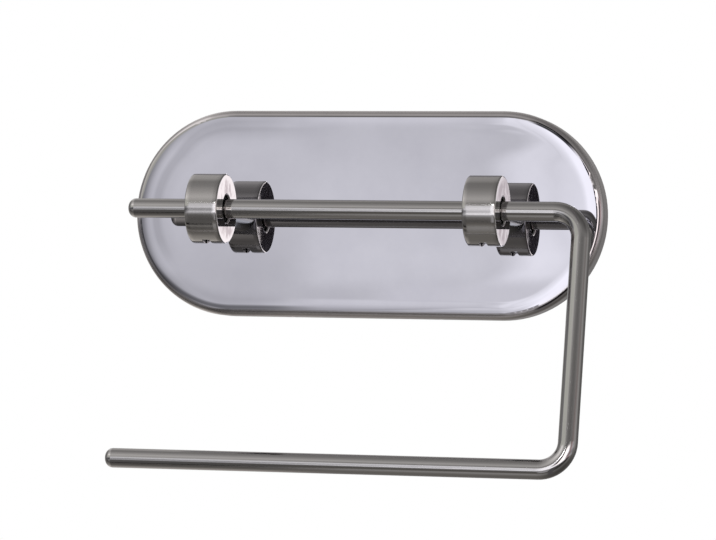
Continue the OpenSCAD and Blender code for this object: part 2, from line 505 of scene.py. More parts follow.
LEFT_ROOM_BY_HEIGHT = [
    (-180, 0.40, WALL_TINT),
    (-134, 0.50, LOW_TINT),
    (-124, 0.38, LOW_TINT),
    (-107, 0.29, LOW_TINT),
    (-97, 0.18, LOW_TINT),
    (-88, 0.13, LOW_TINT),
    (-80, 0.17, LOW_TINT),
    (-76, 0.075, LOW_TINT),
    (-67, 0.07, LOW_TINT),
    (-63.5, 0.20, LOW_TINT),
    (-60.5, 0.09, LOW_TINT),
    (-58.5, 0.0, WALL_TINT),
    (-54.5, 0.0, WALL_TINT),
    (-52.5, 0.08, WALL_TINT),
    (-42, 0.105, WALL_TINT),
    (-27, 0.115, WALL_TINT),
    (-21, 0.16, WALL_TINT),
    (-17, 0.40, LEVEL_TINT),
    (0, 0.70, LEVEL_TINT),
    (14, 0.70, LEVEL_TINT),
    (17, 0.50, WALL_TINT),
    (21, 0.46, WALL_TINT),
    (26, 0.50, WALL_TINT),
    (38, 0.58, WALL_TINT),
    (54, 0.44, WALL_TINT),
    (66, 0.36, WALL_TINT),
    (78, 0.28, WALL_TINT),
    (97, 0.24, WALL_TINT),
    (108, 0.35, WALL_TINT),
    (116, 0.42, WALL_TINT),
    (146, 0.45, WALL_TINT),
    (180, 0.40, WALL_TINT),
]
LEVEL_BY_HEIGHT = [
    (-24, 0.24, WALL_TINT),
    (-20.5, 0.42, WALL_TINT),
    (-17, 0.64, LEVEL_TINT),
    (-14, 1.15, LEVEL_TINT),
    (-10, 0.70, LEVEL_TINT),
    (-6, 0.60, LEVEL_TINT),
    (-3, 0.74, LEVEL_TINT),
    (0, 0.88, LEVEL_TINT),
    (2.5, 0.995, LEVEL_TINT),
    (5, 1.02, LEVEL_TINT),
    (5.8, 0.98, LEVEL_TINT),
    (6.4, 0.84, LEVEL_TINT),
    (8, 0.86, LEVEL_TINT),
    (9.5, 0.93, LEVEL_TINT),
    (12, 0.80, LEVEL_TINT),
    (14, 0.50, WALL_TINT),
    (16.5, 0.33, WALL_TINT),
    (20, 0.31, WALL_TINT),
    (24, 0.42, WALL_TINT),
]
LEFT_LEVEL_BY_HEIGHT = [
    (-24, 0.13, WALL_TINT),
    (-20.5, 0.17, WALL_TINT),
    (-17, 0.42, LEVEL_TINT),
    (-14, 0.66, LEVEL_TINT),
    (-10, 0.47, LEVEL_TINT),
    (-5, 0.31, LEVEL_TINT),
    (-2.5, 0.36, LEVEL_TINT),
    (-0.5, 0.70, LEVEL_TINT),
    (0.5, 1.0, LEVEL_TINT),
    (2.5, 0.93, LEVEL_TINT),
    (4.6, 0.86, LEVEL_TINT),
    (5.6, 0.83, LEVEL_TINT),
    (8, 0.84, LEVEL_TINT),
    (10, 0.88, LEVEL_TINT),
    (14, 0.84, LEVEL_TINT),
    (17, 0.52, WALL_TINT),
    (20, 0.46, WALL_TINT),
    (24, 0.48, WALL_TINT),
]
# How far the level tables are spread out on their ramps.
LEVEL_SPREAD = 0.96
# Where the left tables give way to the others, sideways.
LEFT_SIDE = (-0.286, -0.270)
# Where the level tables give way to the others, in degrees above and below level.
LEVEL_EDGE = (13, 19)
# Depth over which what is in front of the wall ends.
FRONT_EDGE = (-0.15, 0.05)
# Brightness of the faint clouds that lie over the whole room, and their scale.
CLOUDS = (0.96, 1.05)
CLOUD_SCALE = 9.0

# Shares of those brightnesses by the sideways part: near level, finely there where the plate
# looks, and elsewhere.
LEVEL_SHARES = [
    (-1.0, 0.55),
    (-0.8, 0.64),
    (-0.6, 0.50),
    (-0.5, 0.54),
    (-0.43, 1.0),
    (0.15, 1.0),
    (0.2, 1.09),
    (0.26, 1.31),
    (0.60, 1.31),
    (0.70, 0.80),
    (0.76, (0.31, 0.23, 0.22)),
    (0.88, (0.30, 0.23, 0.22)),
    (0.93, (0.41, 0.36, 0.35)),
    (1.0, 0.33),
]
PLATE_SHARES = [
    (-0.43, 0.54),
    (-0.36, 0.84),
    (-0.325, 0.98),
    (-0.305, 0.96),
    (-0.296, 0.95),
    (-0.27, 0.98),
    (-0.24, 0.985),
    (-0.232, 0.95),
    (-0.2285, 0.95),
    (-0.2261, 1.02),
    (-0.2228, 1.17),
    (-0.2196, 1.27),
    (-0.2131, 1.25),
    (-0.2098, 1.19),
    (-0.206, 1.27),
    (-0.195, 1.36),
    (-0.17, 1.60),
]
OTHER_SHARES = [
    (-1.0, 0.70),
    (-0.92, 0.85),
    (-0.8, 1.60),
    (-0.68, 2.10),
    (-0.56, 2.05),
    (-0.45, 1.45),
    (-0.28, 1.0),
    (0.0, 0.72),
    (0.18, 0.55),
    (0.5, 0.42),
    (0.78, 0.46),
    (0.9, 0.68),
    (1.0, 1.20),
]
SHARE_SCALE = 2.5
PLATE_SCALE = 1.6
# Sideways shift of the level shares by the height angle, which bends their upright edges.
LEVEL_SHIFTS = [
    (-19, 0.0655),
    (-0.3, 0.0095),
    (0.3, -0.010),
    (0.7, -0.0058),
    (1.1, 0.0002),
    (1.5, 0.0018),
    (1.9, 0.0003),
    (3.5, 0.0),
    (5.05, -0.0045),
    (5.45, -0.0030),
    (5.85, 0.0014),
    (6.25, 0.0076),
    (6.9, 0.010),
    (19, -0.0485),
]
SHIFT_SCALE = 0.2

# What lies behind the wall plane on the left is dim: depth and sideways part over which the
# dimness sets in, its share and its colour.
DIM_DEPTH = (-0.05, 0.3)
DIM_SIDE = (-0.75, -0.45)
DIM_SHARE = 0.8
DIM_COLOUR = (0.16, 0.16, 0.155)

# Cards: middle counted from the camera, width and height, colour.
CARDS = [
    # mirrored by the collars' end faces by way of the plate
    ((-0.0785, -0.026, 0.09), (0.16, 0.36), (0.05, 0.045, 0.055)),
    # mirrored by the undersides of the posts
    ((0.006, -0.026, 0.09), (0.0072, 0.36), (0.02, 0.05, 0.05)),
]

# Soft-edged fields of the room: sideways from and to, elevation from and to in degrees, width
# of the soft edge, colour.
ROOM_FIELDS = [
    # bare wall high on the left
    (-0.92, -0.345, 5, 24, 0.04, (0.62, 0.62, 0.58)),
    # darkness to the right, above and below the window
    (0.17, 0.36, 40, 85, 0.05, (0.16, 0.15, 0.155)),
    (0.17, 0.36, -85, -19, 0.05, (0.11, 0.105, 0.11)),
    # bright wall beside the window, low
    (-0.256, -0.205, 5.7, 9, 0.012, (0.95, 0.94, 1.0)),
    # the window and its sill
    (-0.15, 0.12, -40, -16, 0.05, (0.42, 0.41, 0.43)),
    (-0.15, 0.58, -14, 14, 0.05, (1.60, 1.58, 1.67)),
    # its brightest part
    (0.15, 0.245, -12, 14, 0.03, (1.55, 1.44, 1.46)),
    (0.245, 0.58, -12, 14, 0.03, (2.15, 2.0, 1.98)),
    # a lamp, mirrored by the edges of the collars' bores
    (-0.10, -0.01, 15.5, 18.5, 0.015, (9.0, 9.0, 9.0)),
]

# Width and place of the soft lamp, in metres.
LAMP_SIZE = 1.1
LAMP_PLACE = (-0.55, -0.9, 1.2)


class HOLDER_OT_studio(bpy.types.Operator):
    """Builds the floor, the lamp and the room that the metal mirrors"""

    bl_idname = "holder.studio"
    bl_label = "Studio"

    def by_height(self, tree, height, table, spread_out=None):
        """The colour that a table gives for a height angle or, spread out, for a lift."""
        stops = []
        for angle, brightness, tint in table:
            place = 0.5 + angle / 360
            if spread_out:
                place = 0.5 + spread_out * math.sin(math.radians(angle))
            stops.append((place, tuple(brightness * value for value in tint)))
        return ramp(tree, height, stops)

    def by_side(self, tree, side, table, scale):
        """The share that a table gives for a sideways part, divided by a scale."""
        low, high = table[0][0], table[-1][0]
        stops = []
        for place, share in table:
            shade = share if isinstance(share, tuple) else (share,) * 3
            stops.append(((place - low) / (high - low), tuple(value / scale for value in shade)))
        place = calc(tree, "MULTIPLY_ADD", side, 1 / (high - low), -low / (high - low))
        return ramp(tree, place, stops)

    def field(self, tree, room, side, up, in_front, field):
        """Lays one soft-edged field over the part of the room before the wall."""
        left, right, low, high, soft, colour = field
        low, high = math.sin(math.radians(low)), math.sin(math.radians(high))
        mask = calc(
            tree,
            "MULTIPLY",
            between(tree, side, left, right, soft / 2),
            between(tree, up, low, high, soft / 2),
        )
        return mix_colours(tree, calc(tree, "MULTIPLY", mask, in_front), room, rgba(colour))

    def room(self, tree, strength):
        direction = add_node(tree, "ShaderNodeTexCoord").outputs["Generated"]
        side, depth, up = add_node(tree, "ShaderNodeSeparateXYZ", {0: direction}).outputs
        turn = calc(tree, "ARCTAN2", up, calc(tree, "MULTIPLY", depth, -1.0))
        height = calc(tree, "MULTIPLY_ADD", turn, 0.5 / math.pi, 0.5)
        lift = calc(tree, "ADD", up, 0.5)
        shift = self.by_height(
            tree,
            lift,
            [(at, 1.0, (0.5 + value / SHIFT_SCALE,) * 3) for at, value in LEVEL_SHIFTS],
            LEVEL_SPREAD,
        )
        slant = calc(tree, "MULTIPLY_ADD", shift, SHIFT_SCALE, -0.5 * SHIFT_SCALE)
        on_left = step_down(tree, side, *LEFT_SIDE)
        other = mix_colours(
            tree,
            on_left,
            self.by_height(tree, height, ROOM_BY_HEIGHT),
            self.by_height(tree, height, LEFT_ROOM_BY_HEIGHT),
        )
        near_level = mix_colours(
            tree,
            on_left,
            self.by_height(tree, lift, LEVEL_BY_HEIGHT, LEVEL_SPREAD),
            self.by_height(tree, lift, LEFT_LEVEL_BY_HEIGHT, LEVEL_SPREAD),
        )
        shifted = calc(tree, "ADD", side, slant)
        shares = multiply_colours(
            tree,
            self.by_side(tree, shifted, LEVEL_SHARES, SHARE_SCALE / PLATE_SCALE),
            self.by_side(tree, shifted, PLATE_SHARES, PLATE_SCALE),
        )
        low, high = (math.sin(math.radians(angle)) for angle in LEVEL_EDGE)
        level = step_down(tree, calc(tree, "ABSOLUTE", up), low, high)
        in_front = step_down(tree, depth, *FRONT_EDGE)
        room = mix_colours(
            tree,
            calc(tree, "MULTIPLY", level, in_front),
            multiply_colours(tree, other, self.by_side(tree, side, OTHER_SHARES, SHARE_SCALE)),
            multiply_colours(tree, near_level, shares),
        )
        room = add_node(
            tree, "ShaderNodeVectorMath", {0: room, "Scale": SHARE_SCALE}, operation="SCALE"
        ).outputs[0]
        for field in ROOM_FIELDS:
            room = self.field(tree, room, side, up, in_front, field)
        dim = calc(
            tree, "MULTIPLY", step_up(tree, depth, *DIM_DEPTH), step_down(tree, side, *DIM_SIDE)
        )
        room = mix_colours(tree, calc(tree, "MULTIPLY", dim, DIM_SHARE), room, rgba(DIM_COLOUR))
        cloud = spread(tree, noise(tree, direction, CLOUD_SCALE), *CLOUDS)
        return add_node(
            tree,
            "ShaderNodeBackground",
            {"Color": room, "Strength": calc(tree, "MULTIPLY", cloud, strength)},
        ).outputs[0]

    def world(self, scene, settings):
        world = bpy.data.worlds.new("studio")
        world.use_nodes = True
        tree = world.node_tree
        tree.nodes.clear()
        white = add_node(tree, "ShaderNodeBackground", {"Color": (1, 1, 1, 1), "Strength": 1.0})
        fill = add_node(
            tree,
            "ShaderNodeBackground",
            {"Color": (1, 1, 1, 1), "Strength": settings.fill_strength},
        )
        ray = add_node(tree, "ShaderNodeLightPath").outputs
        seen = calc(tree, "MAXIMUM", ray["Is Camera Ray"], ray["Is Transmission Ray"])
        room = self.room(tree, settings.room_strength)
        mirrored = add_node(
            tree, "ShaderNodeMixShader", {0: ray["Is Glossy Ray"], 1: fill.outputs[0], 2: room}
        ).outputs[0]
        shown = add_node(tree, "ShaderNodeMixShader", {0: seen, 1: mirrored, 2: white.outputs[0]})
        add_node(tree, "ShaderNodeOutputWorld", {"Surface": shown.outputs[0]})
        scene.world = world

    def floor(self, settings):
        bpy.ops.object.select_all(action="DESELECT")
        bpy.ops.mesh.primitive_plane_add(
            size=settings.floor_size, location=(0, 0, -settings.floor_drop)
        )
        floor = bpy.context.object
        floor.name = "studio_floor"
        bpy.ops.object.transform_apply(location=True)
        floor.visible_glossy = False
        material, tree, shader = new_finish("pale_floor")
        place = place_from(tree)[0]
        set_shader(
            tree,
            shader,
            Base_Color=tones(tree, noise(tree, place, 0.02), settings.floor_colour, 0.97, 1.0),
            Roughness=0.7,
            Specular_IOR_Level=0.2,
        )
        floor.data.materials.append(material)

    def lamp(self, settings):
        data = bpy.data.lights.new("soft_lamp", "AREA")
        data.shape = "DISK"
        data.size = LAMP_SIZE
        data.energy = settings.lamp_power
        lamp = bpy.data.objects.new("soft_lamp", data)
        bpy.context.scene.collection.objects.link(lamp)
        lamp.location = LAMP_PLACE
        lamp.rotation_euler = (-lamp.location).to_track_quat("-Z", "Y").to_euler()
        lamp.visible_glossy = False

    def card(self, number, middle, size, colour):
        """A card that only the mirrored light sees."""
        bpy.ops.object.select_all(action="DESELECT")
        bpy.ops.mesh.primitive_plane_add(size=1, location=middle, rotation=(math.pi / 2, 0, 0))
        card = bpy.context.object
        card.name = f"studio_card_{number}"
        card.scale = (*size, 1)
        bpy.ops.object.transform_apply(location=True, rotation=True, scale=True)
        card.visible_camera = False
        card.visible_diffuse = False
        card.visible_shadow = False
        material, tree, shader = new_finish(f"card_{number}")
        place = place_from(tree)[0]
        set_shader(
            tree,
            shader,
            Base_Color=tones(tree, noise(tree, place, 0.03), colour, 0.7, 1.3),
            Roughness=0.8,
            Specular_IOR_Level=0.1,
        )
        card.data.materials.append(material)

    def execute(self, context):
        settings = context.scene.holder_studio
        context.scene.view_settings.view_transform = "Standard"
        self.world(context.scene, settings)
        self.floor(settings)
        self.lamp(settings)
        camera = Vector(context.scene.holder_camera.place)
        for number, (middle, size, colour) in enumerate(CARDS):
            self.card(number, camera + Vector(middle), size, colour)
        return {"FINISHED"}


# Finishes


# Tones of the painted reflection bands along the plate's left end, by the distance from the plate's
# middle line in mm.
RING_TO = 27.0
RING_TONES = [
    (16.5, 1.0),
    (19.3, 0.92),
    (20.6, 0.77),
    (21.8, 0.77),
    (22.8, 0.93),
    (23.6, 0.95),
    (24.6, 0.86),
    (25.2, 0.84),
    (25.8, 1.0),
]
# Where the ring fades out to the right and below, and where it turns outwards above and how far,
# in mm.
RING_END = (-40.0, -12.0)
RING_BOTTOM = (-16.0, -6.0)
RING_TOP = (14.0, 24.0)
RING_TURN = -2.2
# Heights and distances from the middle line, in mm, where the ring's lower end is a plain painted shade.
SHADE_TOP = (-19.0, -13.0)
SHADE_BAND = (19.5, 26.0)
SHADE_TONE = 0.7

# Tint of the plate's metal from the start of its rounded edge, 0, to its outermost line, 1.
RIM_TINTS = [
    (0.0, (1.0, 1.0, 1.0)),
    (0.15, (0.97, 0.94, 0.90)),
    (0.45, (1.32, 1.27, 1.20)),
    (1.0, (1.56, 1.51, 1.42)),
]
# Where the satin of the rim begins, in edge radii within the outermost line, how much further in
# it begins below, and the heights in mm over which that sets in.
SATIN_EDGE = (0.25, 0.7)
SATIN_LOWER = 0.35
SATIN_HEIGHTS = (-8.0, 0.0)
# Where the plain inside begins, in mm behind the face and within the outermost line.
INSIDE_DEPTH = (0.9, 1.1)
INSIDE_WALL = (1.15, 1.1)
INSIDE_TONE = 0.62
# Softness of the start and of the end of a line of painted dark reflection, in edge radii.
LINE_SOFT = (0.05, 0.06)
# How far the gentle fall goes on into the rounded edge, in edge radii.
FALL_PAST = 0.3


class HOLDER_OT_cover_plate(bpy.types.Operator):
    """Finishes the pressed cover: mirror-polished face, satin rim, plain inside"""

    bl_idname = "holder.cover_plate"
    bl_label = "Cover Plate"

    def line(self, tree, into_edge, start, end):
        """A line round the rim, from start to end in edge radii within its outermost line."""
        start_soft, end_soft = LINE_SOFT
        return calc(
            tree,
            "SUBTRACT",
            step_down(tree, into_edge, start - start_soft, start + start_soft),
            step_down(tree, into_edge, end - end_soft, end + end_soft),
        )

    def painted_rim_reflection(self, tree, x, z, into_edge):
        """Painted dark reflection along the rounded edge: dark round the right end, faint above."""
        past_end = calc(tree, "SUBTRACT", x, PLATE_END_X * MILLIMETRES)
        above = step_up(tree, z, -1.0, 1.0)
        below = calc(tree, "SUBTRACT", 1.0, above)
        upper_right = between(tree, past_end, 8.0, 19.0, 2.0)
        lower_right = between(tree, past_end, 10.0, 19.0, 1.2)
        outermost = step_up(tree, past_end, 18, 20)
        end_heights = between(tree, z, -10.5, 4.7, 1.5)
        top_stretch = between(tree, x, -38.0, 42.0, 4.0)
        lines = [
            # from and to in edge radii, strength, and the two masks that say where the line is
            (1.10, 0.64, 0.97, above, upper_right),
            (0.66, 0.42, 0.90, below, lower_right),
            (0.68, 0.48, 0.95, end_heights, outermost),
            (0.98, 0.72, 0.33, above, top_stretch),
        ]
        total = 0.0
        for start, end, strength, first, second in lines:
            mask = calc(tree, "MULTIPLY", self.line(tree, into_edge, start, end), first)
            mask = calc(tree, "MULTIPLY", calc(tree, "MULTIPLY", mask, second), strength)
            total = calc(tree, "MAXIMUM", total, mask)
        return total

    def ring(self, tree, x, z, from_spine):
        """Painted reflection bands in a ring along the plate's left end, ending below in a painted shade."""
        turned = calc(tree, "MULTIPLY", step_up(tree, z, *RING_TOP), RING_TURN)
        place = calc(tree, "DIVIDE", calc(tree, "ADD", from_spine, turned), RING_TO)
        tone = ramp(tree, place, [(at / RING_TO, value) for at, value in RING_TONES])
        on_left = step_down(tree, x, *RING_END)
        mask = calc(tree, "MULTIPLY", on_left, step_up(tree, z, *RING_BOTTOM))
        upper = mix_colours(tree, mask, rgba((1, 1, 1)), tone)
        low = calc(tree, "MULTIPLY", on_left, step_down(tree, z, *SHADE_TOP))
        shaded = calc(tree, "MULTIPLY", low, step_up(tree, from_spine, *SHADE_BAND))
        return mix_colours(tree, shaded, upper, rgba((SHADE_TONE,) * 3))

    def form(self, tree, settings, z, from_spine, into_edge):
        """Height of the face in mm: hollow by a hair across its height, which makes what it
        mirrors taller, and falling away gently in a band before its rounded edge."""
        half = PLATE_HALF_H * MILLIMETRES
        edge = PLATE_EDGE_R * MILLIMETRES
        band = settings.fall_width * MILLIMETRES
        level_z = calc(tree, "MINIMUM", calc(tree, "ABSOLUTE", z), half - edge)
        squared = calc(tree, "MULTIPLY", level_z, level_z)
        hollow = calc(tree, "DIVIDE", squared, 2 * settings.plate_dish * MILLIMETRES)
        onto = part_way(tree, from_spine, half - edge - band, half - edge)
        past = part_way(tree, into_edge, 1.0, 1.0 - FALL_PAST)
        left_of_past = calc(tree, "POWER", calc(tree, "SUBTRACT", 1.0, past), 3.0)
        fall = calc(
            tree,
            "ADD",
            calc(tree, "MULTIPLY", calc(tree, "POWER", onto, 3.0), band),
            calc(tree, "MULTIPLY", calc(tree, "SUBTRACT", 1.0, left_of_past), FALL_PAST * edge),
        )
        slope = math.tan(settings.fall_angle) / 3
        slope_by_height = calc(tree, "MULTIPLY_ADD", z, -0.5 * slope / half, slope)
        return calc(tree, "SUBTRACT", hollow, calc(tree, "MULTIPLY", fall, slope_by_height))

    def execute(self, context):
        settings = context.scene.holder_finish
        colour = settings.plate_colour
        half = PLATE_HALF_H * MILLIMETRES
        depth = PLATE_DEPTH * MILLIMETRES
        edge = PLATE_EDGE_R * MILLIMETRES
        material, tree, shader = new_finish("polished_plate")
        place, x, y, z = place_from(tree)
        past_end = calc(tree, "SUBTRACT", calc(tree, "ABSOLUTE", x), PLATE_END_X * MILLIMETRES)
        from_spine = hypotenuse(tree, calc(tree, "MAXIMUM", past_end, 0.0), z)
        into_edge = calc(tree, "MULTIPLY_ADD", from_spine, -1 / edge, half / edge)
        lower = calc(tree, "MULTIPLY", step_down(tree, z, *SATIN_HEIGHTS), SATIN_LOWER)
        rim = step_down(tree, calc(tree, "SUBTRACT", into_edge, lower), *SATIN_EDGE)
        inside = calc(
            tree,
            "MULTIPLY",
            step_up(tree, y, *(value - depth for value in INSIDE_DEPTH)),
            step_down(tree, from_spine, *(half - value for value in INSIDE_WALL)),
        )

        # The polish leaves a faint haze, and fine lines that run round the rim.
        haze = noise(tree, place, 0.06, 4.0, 0.6)
        wipe = noise(tree, vector(tree, calc(tree, "MULTIPLY", x, 0.12), z), 2.2)
        round_lines = noise(tree, vector(tree, from_spine, y), 9.0, 2.0)
        gloss = calc(
            tree, "ADD", spread(tree, haze, 0.006, 0.012), spread(tree, wipe, -0.004, 0.006)
        )
        roughness = mix_values(tree, rim, gloss, spread(tree, round_lines, 0.17, 0.28))
        roughness = mix_values(tree, inside, roughness, spread(tree, haze, 0.30, 0.46))

        stops = [
            (at, tuple(value * tint for value, tint in zip(colour, tints)))
            for at, tints in RIM_TINTS
        ]
        shade = ramp(tree, part_way(tree, into_edge, 1.0, 0.0), stops)
        # Painted dark reflection: dark lines painted round the rim.
        painted_rim_reflection = self.painted_rim_reflection(tree, x, z, into_edge)
        shade = mix_colours(tree, painted_rim_reflection, shade, rgba(settings.painted_rim_reflection_colour))
        # Painted reflection bands and a painted shade at the plate's left end.
        shade = multiply_colours(tree, shade, self.ring(tree, x, z, from_spine))
        shade = mix_colours(tree, inside, shade, rgba(tinted(colour, INSIDE_TONE)))
        hazed = rgba(tinted(colour, 0.95))
        shade = multiply_colours(tree, shade, hazed, spread(tree, haze, 0.0, 0.5))

        form = self.form(tree, settings, z, from_spine, into_edge)
        dished = bump(tree, form, 1 / MILLIMETRES)
        rippled = bump(tree, noise(tree, place, 0.035, 2.0), 0.000008, 1.0, dished)
        lined = bump(tree, calc(tree, "MULTIPLY", round_lines, rim), 0.000004, 1.0, rippled)
        set_shader(
            tree, shader, Base_Color=shade, Metallic=1.0, Roughness=roughness, Normal=lined
        )
        paint(material, "cover_plate")
        return {"FINISHED"}


# Tones of the streaks on the collars' end faces, dark and bright, and the painted highlight band
# along the faces' outer edge, in mm from it.
FACE_TONES = ((0.70, 0.66, 0.665), (1.3, 1.33, 1.31))
FACE_HIGHLIGHT_BAND = (2.2, 0.8)
# Where the end faces begin, and where a collar's holes and slots begin, in mm within its ends and
# within its round side.
FACE_EDGE = (0.25, 0.05)
HOLE_ENDS = (0.5, 0.4)
HOLE_SIDE = (0.12, 0.04)


class HOLDER_OT_collars(bpy.types.Operator):
    """Finishes the two turned collars"""

    bl_idname = "holder.collars"
    bl_label = "Collars"

    def face_streaks_and_light(self, tree, x, y, z, radius):
        """Upright streaks on the end faces, under painted light: the left collar lighter, most on its upper half,
        and a painted highlight along the outer edge, on the right collar strongest towards the room.
        """
        stretched = vector(tree, calc(tree, "MULTIPLY", y, 0.45), calc(tree, "MULTIPLY", z, 0.3), x)
        marble = noise(tree, stretched, 1.0, 3.0, 0.6)
        on_left = step_down(tree, x, -1.0, 1.0)
        above = step_up(tree, z, -2.0, 2.0)
        painted_upper_left_light = calc(tree, "MULTIPLY", on_left, spread(tree, above, 0.15, 0.6))
        streaks = calc(tree, "ADD", spread(tree, marble, -2.9, 3.3), painted_upper_left_light, clamp=True)
        painted_room_side_light = spread(tree, step_down(tree, y, -3.0, 3.0), 0.2, 1.0)
        band = step_up(tree, radius, *(COLLAR_R * MILLIMETRES - value for value in FACE_HIGHLIGHT_BAND))
        band = calc(tree, "MULTIPLY", band, calc(tree, "MAXIMUM", on_left, painted_room_side_light))
        dark, bright = FACE_TONES
        return mix_colours(tree, calc(tree, "MAXIMUM", streaks, band), rgba(dark), rgba(bright))

    def execute(self, context):
        settings = context.scene.holder_finish
        material, tree, shader = new_finish("turned_collar")
        place, x, y, z = place_from(tree, ROD_AXIS)
        radius = hypotenuse(tree, y, z)
        turned = vector(tree, x, radius)
        broad = noise(tree, turned, 1.4, 2.0)
        fine = noise(tree, turned, 11.0, 3.0, 0.7)
        stain = noise(tree, place, 0.16)
        across = calc(tree, "SUBTRACT", calc(tree, "ABSOLUTE", x), COLLAR_X * MILLIMETRES)
        across = calc(tree, "ABSOLUTE", across)
        half_width = (COLLAR_HIGH.x - COLLAR_LOW.x) * MILLIMETRES / 2
        end_face = step_up(tree, across, *(half_width - value for value in FACE_EDGE))
        round_side = calc(tree, "SUBTRACT", 1.0, end_face)
        hole_shade = calc(
            tree,
            "MULTIPLY",
            step_down(tree, radius, *(COLLAR_R * MILLIMETRES - value for value in HOLE_SIDE)),
            step_down(tree, across, *(half_width - value for value in HOLE_ENDS)),
        )

        shade = tones(tree, fine, settings.collar_colour, 0.93, 1.06)
        warm = rgba((0.97, 0.94, 0.90))
        shade = multiply_colours(tree, shade, warm, spread(tree, stain, 0.0, 0.6))
        face_streaks_and_light = self.face_streaks_and_light(tree, x, y, z, radius)
        # Real streaks plus painted light: a lighter left collar and a painted highlight along the edges.
        shade = multiply_colours(tree, shade, face_streaks_and_light, end_face)
        # Painted shade: holes and slots are coloured near black.
        shade = mix_colours(tree, hole_shade, shade, rgba(settings.hole_shade_colour))
        satin = calc(
            tree, "ADD", spread(tree, fine, 0.08, 0.15), spread(tree, broad, -0.02, 0.03)
        )
        roughness = mix_values(tree, end_face, satin, spread(tree, stain, 0.004, 0.009))
        tangent = add_node(tree, "ShaderNodeTangent", direction_type="RADIAL", axis="X").outputs[0]

        # Polishing has rolled the surface over towards its edges. On the end faces it left
        # shallow streaks.
        roll_width = settings.roll_width * MILLIMETRES
        onto_edge = part_way(tree, across, half_width - roll_width, half_width - 0.1)
        roll_height = -0.5 * math.tan(settings.roll_angle) * roll_width
        roll = calc(tree, "MULTIPLY", calc(tree, "POWER", onto_edge, 2.0), roll_height)
        upright = vector(tree, calc(tree, "MULTIPLY", y, 1.4), calc(tree, "MULTIPLY", z, 0.25))
        streaks = noise(tree, upright, 0.9)
        streaked = bump(tree, calc(tree, "MULTIPLY", streaks, end_face), 0.0000008)
        rolled = bump(tree, roll, 1 / MILLIMETRES, 1.0, streaked)
        set_shader(
            tree,
            shader,
            Base_Color=shade,
            Metallic=1.0,
            Roughness=roughness,
            Anisotropic=calc(tree, "MULTIPLY", round_side, 0.8),
            Anisotropic_Rotation=0.25,
            Tangent=tangent,
            Normal=bump(tree, calc(tree, "MULTIPLY", fine, round_side), 0.0000015, 1.0, rolled),
        )
        paint(material, "collar_left", "collar_right")
        return {"FINISHED"}


# Turn of the studs' and of the set screws' threads, in mm.
STUD_PITCH = 0.8
SET_SCREW_PITCH = 0.5
# Where a post's stud begins: its surface, and its place behind the plate's face, in mm.
STUD_RADIUS = (2.52, 2.6)
STUD_START = (0.0, 1.2)


class HOLDER_OT_posts(bpy.types.Operator):
    """Finishes the two posts: polished neck, threaded stud behind the plate"""

    bl_idname = "holder.posts"
    bl_label = "Posts"

    def execute(self, context):
        settings = context.scene.holder_finish
        depth = PLATE_DEPTH * MILLIMETRES
        for side, name in ((-1, "post_left"), (1, "post_right")):
            material, tree, shader = new_finish("polished_" + name)
            _, x, y, z = place_from(tree, (side * COLLAR_X, 0.0, 0.0))
            radius = hypotenuse(tree, x, z)
            turn = calc(tree, "DIVIDE", calc(tree, "ARCTAN2", z, x), 2 * math.pi)
            behind_face = step_up(tree, y, *(value - depth for value in STUD_START))
            stud = calc(tree, "MULTIPLY", step_down(tree, radius, *STUD_RADIUS), behind_face)
            turns = calc(tree, "ADD", calc(tree, "DIVIDE", y, STUD_PITCH), turn)
            thread = calc(tree, "PINGPONG", turns, 0.5)
            threaded = bump(tree, calc(tree, "MULTIPLY", thread, stud), 0.0008)
            rings = noise(tree, vector(tree, y, radius), 8.0, 2.0)
            # The posts' dark colour is painted shade.
            set_shader(
                tree,
                shader,
                Base_Color=tones(tree, rings, settings.post_shade_colour, 0.94, 1.04),
                Metallic=1.0,
                Roughness=mix_values(tree, stud, spread(tree, rings, 0.06, 0.14), 0.32),
                Normal=bump(tree, rings, 0.000002, 1.0, threaded),
            )
            paint(material, name)
        return {"FINISHED"}


class HOLDER_OT_rod(bpy.types.Operator):
    """Finishes the bent rod, drawn along its length"""

    bl_idname = "holder.rod"
    bl_label = "Bent Rod"

    def execute(self, context):
        settings = context.scene.holder_finish
        material, tree, shader = new_finish("satin_rod")
        place, x, out, up = place_from(tree, ROD_AXIS, ARM_LEAN)
        down = calc(tree, "MULTIPLY", up, -1.0)
        bend = ROD_BEND_R * MILLIMETRES
        half_drop = ARM_DROP * MILLIMETRES / 2
        past_bend = calc(tree, "SUBTRACT", x, ARM_X * MILLIMETRES - bend)
        past_arm = calc(
            tree,
            "SUBTRACT",
            calc(tree, "ABSOLUTE", calc(tree, "SUBTRACT", down, half_drop)),
            half_drop - bend,
        )
        parts = (calc(tree, "MAXIMUM", value, 0.0) for value in (past_bend, past_arm))
        across = calc(tree, "SUBTRACT", hypotenuse(tree, *parts), bend)
        along = calc(tree, "MULTIPLY", calc(tree, "SUBTRACT", down, x), 0.03)
        drawn = noise(tree, vector(tree, across, out, along), 5.0, 4.0, 0.65)
        worn = noise(tree, place, 0.12)
        shade = tones(tree, drawn, settings.rod_colour, 0.92, 1.08)
        warm = rgba((0.97, 0.95, 0.92))
        shade = multiply_colours(tree, shade, warm, spread(tree, worn, 0.0, 0.5))
        roughness = calc(
            tree, "ADD", spread(tree, drawn, 0.06, 0.12), spread(tree, worn, -0.015, 0.02)
        )
        set_shader(
            tree,
            shader,
            Base_Color=shade,
            Metallic=1.0,
            Roughness=roughness,
            Normal=bump(tree, drawn, 0.000003),
        )
        paint(material, "roll_rod")
        return {"FINISHED"}


